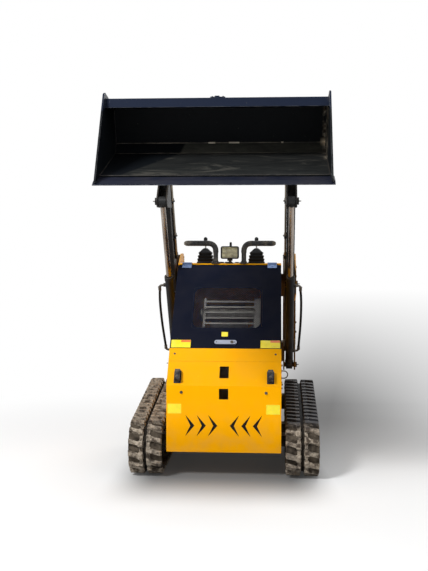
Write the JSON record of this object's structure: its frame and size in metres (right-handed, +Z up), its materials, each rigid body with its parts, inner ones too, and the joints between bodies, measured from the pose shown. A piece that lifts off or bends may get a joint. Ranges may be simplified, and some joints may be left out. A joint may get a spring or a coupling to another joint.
{
  "type": "mini track loader",
  "caption": "Stand-on mini track loader: rubber-tracked hull with sloping hood, twin-arm boom raised by lift cylinders, tilting bucket and rear operator platform.",
  "frame": {"origin": "ground level, in the middle of the machine's length and width as it stands with the bucket up", "axes": "+X to the machine's left, +Y to its rear, +Z up"},
  "size_m": [1.074, 2.2075, 1.9761],
  "materials": {
    "yellow_paint": "satin",
    "hood_paint": "satin",
    "black_paint": "satin",
    "bucket_paint": "satin",
    "galvanized": "satin",
    "chromed_rod": "polished",
    "grey_tube": "satin",
    "track_rubber": "matte",
    "foam_rubber": "matte",
    "cast_engine": "matte",
    "lamp_plastic": "matte"
  },
  "bodies": {
    "chassis": {"chassis_tub": "yellow_paint", "front_plate": "yellow_paint", "front_strip": "yellow_paint", "front_stop_left": "black_paint", "front_stop_right": "black_paint", "console": "yellow_paint", "rear_panel": "yellow_paint", "engine_block": "cast_engine", "tower_left": "yellow_paint", "tower_right": "yellow_paint", "track_frame_left": "black_paint", "track_frame_right": "black_paint", "track_left": "track_rubber", "track_right": "track_rubber", "sprocket_left": "black_paint", "sprocket_right": "black_paint", "operator_platform": "black_paint", "thigh_pad": "foam_rubber", "grip_left": "foam_rubber", "grip_right": "foam_rubber", "joystick_left": "foam_rubber", "joystick_right": "foam_rubber", "work_lamp": "lamp_plastic", "throttle_lever": "lamp_plastic"},
    "boom": {"boom_arm_left": "black_paint", "boom_arm_right": "black_paint", "boom_cross_tube": "black_paint", "boom_lines_left": "grey_tube", "boom_lines_right": "grey_tube"},
    "bucket": {"attach_plate": "black_paint", "bucket_shell": "bucket_paint", "cutting_edge": "bucket_paint"},
    "hood": {"hood_panel": "hood_paint", "hood_mesh": "black_paint", "hood_latch": "galvanized", "hood_hinge_left": "galvanized", "hood_hinge_right": "galvanized"},
    "lift_barrel_left": {"lift_barrel_left": "black_paint", "lift_hose_left": "foam_rubber"},
    "lift_barrel_right": {"lift_barrel_right": "black_paint", "lift_hose_right": "foam_rubber"},
    "lift_rod_left": {"lift_rod_left": "chromed_rod"},
    "lift_rod_right": {"lift_rod_right": "chromed_rod"},
    "tilt_barrel": {"tilt_barrel": "black_paint"},
    "tilt_rod": {"tilt_rod": "chromed_rod"}
  },
  "joints": [
    {"name": "boom_lift", "type": "hinge", "parent": "chassis", "child": "boom", "pos_m": [0, 0.595, 1.021], "axis": [-1, 0, 0], "range_deg": [-78.3, 0]},
    {"name": "bucket_tilt", "type": "hinge", "parent": "boom", "child": "bucket", "pos_m": [0, -0.50206, 1.84468], "axis": [1, 0, 0], "range_deg": [-118, 16]},
    {"name": "hood_open", "type": "hinge", "parent": "chassis", "child": "hood", "pos_m": [0, 0.37748, 1.15255], "axis": [-1, 0, 0], "range_deg": [0, 70]},
    {"name": "lift_barrel_left_swing", "type": "hinge", "parent": "chassis", "child": "lift_barrel_left", "pos_m": [0.365, 0.76, 0.496], "axis": [-1, 0, 0], "range_deg": [-48.84, 0.5]},
    {"name": "lift_rod_left_slide", "type": "slide", "parent": "lift_barrel_left", "child": "lift_rod_left", "axis": [0, -0.5776, 0.8163], "range_m": [-0.4834, 0.002]},
    {"name": "lift_barrel_right_swing", "type": "hinge", "parent": "chassis", "child": "lift_barrel_right", "pos_m": [-0.365, 0.76, 0.496], "axis": [-1, 0, 0], "range_deg": [-48.84, 0.5]},
    {"name": "lift_rod_right_slide", "type": "slide", "parent": "lift_barrel_right", "child": "lift_rod_right", "axis": [0, -0.5776, 0.8163], "range_m": [-0.4834, 0.002]},
    {"name": "tilt_barrel_swing", "type": "hinge", "parent": "boom", "child": "tilt_barrel", "pos_m": [0, 0.02303, 1.78299], "axis": [1, 0, 0], "range_deg": [-1, 2.27]},
    {"name": "tilt_rod_slide", "type": "slide", "parent": "tilt_barrel", "child": "tilt_rod", "axis": [0, -0.9651, 0.2618], "range_m": [-0.2097, 0.0302]}
  ],
  "couplings": [
    {"joint": "lift_barrel_left_swing", "follows": "boom_lift", "ratio": 0.61743},
    {"joint": "lift_rod_left_slide", "follows": "boom_lift", "m_per_rad": 0.35224},
    {"joint": "lift_barrel_right_swing", "follows": "boom_lift", "ratio": 0.61743},
    {"joint": "lift_rod_right_slide", "follows": "boom_lift", "m_per_rad": 0.35224},
    {"joint": "tilt_barrel_swing", "follows": "bucket_tilt", "ratio": -0.015},
    {"joint": "tilt_rod_slide", "follows": "bucket_tilt", "m_per_rad": 0.10084}
  ]
}
